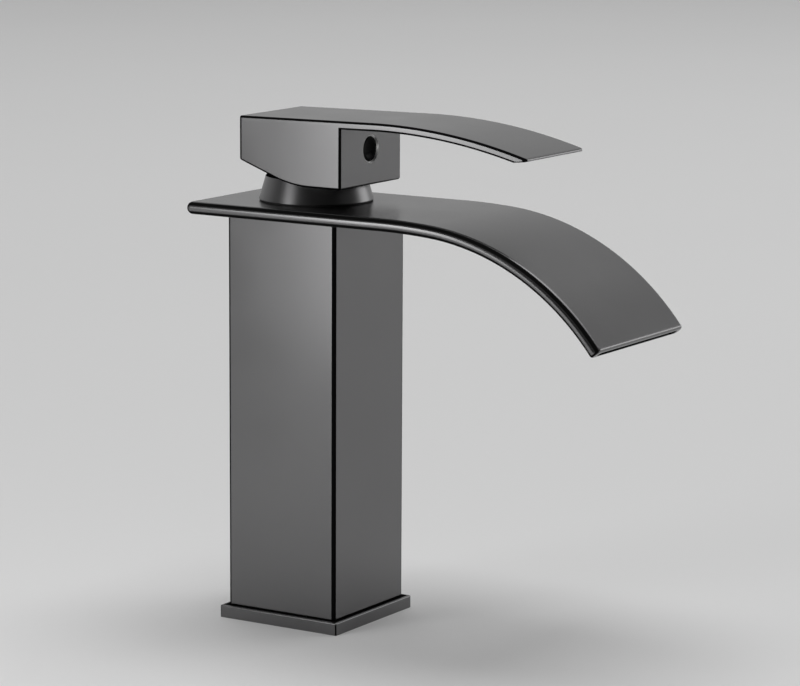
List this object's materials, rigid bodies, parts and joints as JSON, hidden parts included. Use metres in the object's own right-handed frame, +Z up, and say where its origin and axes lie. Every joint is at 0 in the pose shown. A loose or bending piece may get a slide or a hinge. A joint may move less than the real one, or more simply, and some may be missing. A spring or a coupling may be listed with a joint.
{
  "type": "mixer tap",
  "caption": "Lever mixer tap for a basin deck: square column, flat waterfall spout that bends down, cone under a block-and-blade lever, and a ceramic disc cartridge inside.",
  "frame": {"origin": "centre of the base plate's underside, on the deck", "axes": "+Z up along the column, spout and lever towards -Y, hot inlet on -X and cold inlet on +X"},
  "size_m": [0.0612, 0.1678, 0.227],
  "materials": {
    "gunmetal": "satin gunmetal grey coating on brass",
    "brass": "machined, bare",
    "steel": "bright zinc-plated or stainless steel",
    "stem_metal": "die-cast, plain",
    "white_plastic": "glass-filled acetal, off-white",
    "grey_plastic": "acetal, dark grey",
    "black_plastic": "polished black",
    "ceramic": "lapped alumina",
    "rubber": "black EPDM"
  },
  "bodies": {
    "root": {"base_plate": "gunmetal", "base_gasket": "rubber", "column": "gunmetal", "foot_block": "brass", "valve_body": "brass", "spout": "gunmetal", "shroud": "gunmetal", "shroud_seal": "rubber", "cartridge_nut": "brass", "cartridge_housing": "grey_plastic", "cartridge_base": "white_plastic", "base_seals": "rubber", "disc_seals": "rubber", "fixed_disc": "ceramic", "fixing_stud": "steel", "deck_washer": "rubber", "clamp_plate": "steel", "fixing_nut": "brass"},
    "turret": {"cartridge_rotor": "white_plastic", "pivot_pin": "steel"},
    "lever": {"lever_handle": "gunmetal", "lever_stem": "stem_metal", "lever_screw": "steel", "index_plug": "black_plastic"},
    "disc": {"disc_carrier": "white_plastic", "moving_disc": "ceramic"}
  },
  "joints": [
    {"name": "temperature_turn", "type": "hinge", "parent": "root", "child": "turret", "pos_m": [0, 0, 0.149], "axis": [0, 0, 1], "range_deg": [-45, 45]},
    {"name": "flow_lift", "type": "hinge", "parent": "turret", "child": "lever", "pos_m": [0, 0, 0.149], "axis": [-1, 0, 0], "range_deg": [0, 22]},
    {"name": "disc_slide", "type": "slide", "parent": "turret", "child": "disc", "axis": [0, -1, 0], "range_m": [0, 0.0045]}
  ],
  "couplings": [
    {"joint": "disc_slide", "follows": "flow_lift", "m_per_rad": 0.0115}
  ]
}
